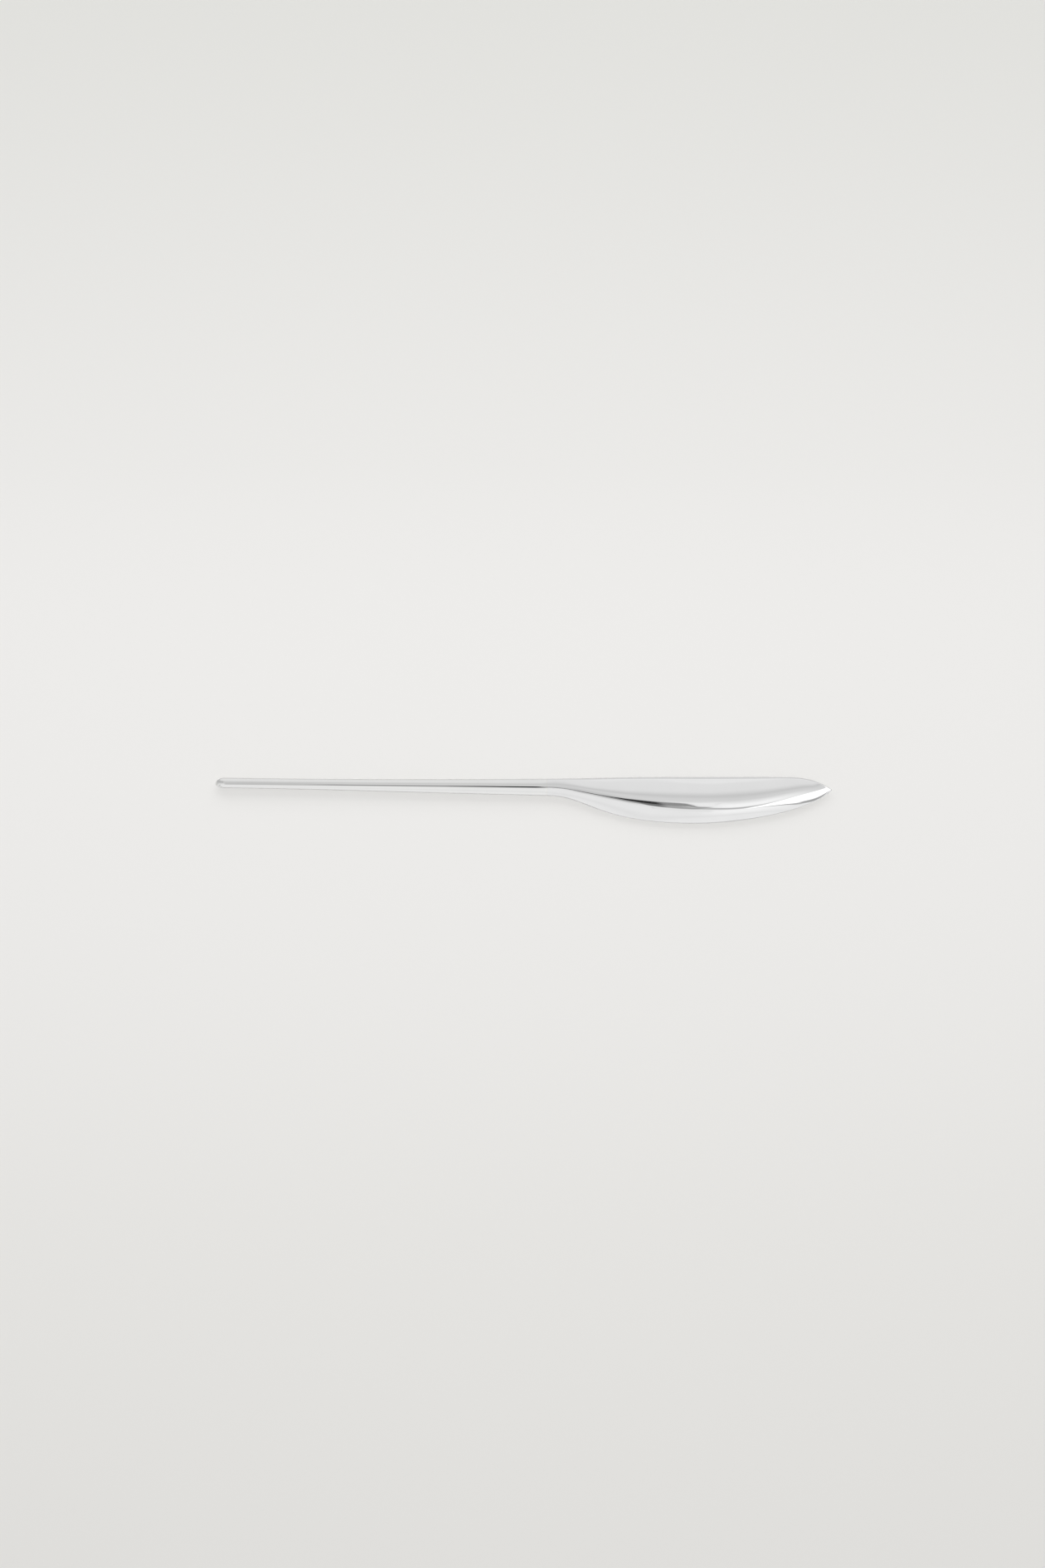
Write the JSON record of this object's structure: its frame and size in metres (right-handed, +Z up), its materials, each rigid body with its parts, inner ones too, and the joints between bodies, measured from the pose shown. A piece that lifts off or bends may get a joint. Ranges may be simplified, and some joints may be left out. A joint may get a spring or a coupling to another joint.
{
  "type": "table knife",
  "caption": "Slim all-metal table knife with a leaf shaped crowned blade flowing out of a narrow tapered handle, mirror polished.",
  "frame": {"origin": "under the middle of the knife's box, on the surface that it lies on", "axes": "+X from the butt of the handle to the tip of the blade, +Y from the cutting edge to the spine, +Z up"},
  "size_m": [0.22, 0.0166, 0.0039],
  "materials": {
    "blade_steel": "polished",
    "handle_steel": "polished",
    "braze_metal": "satin"
  },
  "bodies": {
    "root": {"blade": "blade_steel", "handle": "handle_steel", "braze_fill": "braze_metal"}
  },
  "joints": []
}
